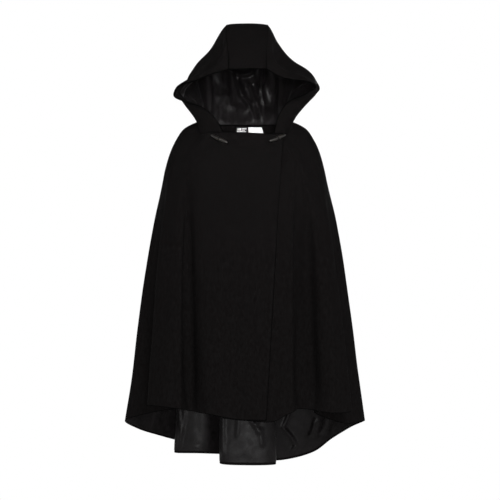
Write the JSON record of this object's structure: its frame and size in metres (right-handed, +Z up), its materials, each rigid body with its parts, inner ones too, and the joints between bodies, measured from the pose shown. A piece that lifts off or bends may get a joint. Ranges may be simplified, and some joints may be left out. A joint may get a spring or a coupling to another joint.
{
  "type": "hooded poncho",
  "caption": "Hooded wool poncho with a wrapped front, a longer back hem, satin lining and horn toggles, in the hollow form it takes when worn.",
  "frame": {"origin": "on the body's middle line, level with the shoulders at the neck, where the poncho hangs from the wearer", "axes": "+Z up, -Y to the wearer's front, +X to the wearer's left, which is the right of the picture"},
  "size_m": [0.673, 0.4191, 1.2596],
  "materials": {
    "wool": "brushed wool coating",
    "satin": "satin lining",
    "horn": "polished horn resin",
    "cord": "waxed cord",
    "label_dark": "woven ribbon",
    "label_light": "woven ribbon"
  },
  "bodies": {
    "root": {"front_over": "wool", "front_under": "wool", "back": "wool", "hood_side_left": "wool", "hood_side_right": "wool", "hood_strip": "wool", "hood_facing": "wool", "neck_facing": "wool", "lining_front_over": "satin", "lining_front_under": "satin", "lining_back": "satin", "lining_hood_left": "satin", "lining_hood_right": "satin", "lining_hood_strip": "satin", "label_maker": "label_dark", "label_care": "label_light", "toggle_left": "horn", "toggle_right": "horn", "toggle_band_left": "cord", "toggle_band_right": "cord"}
  },
  "joints": []
}
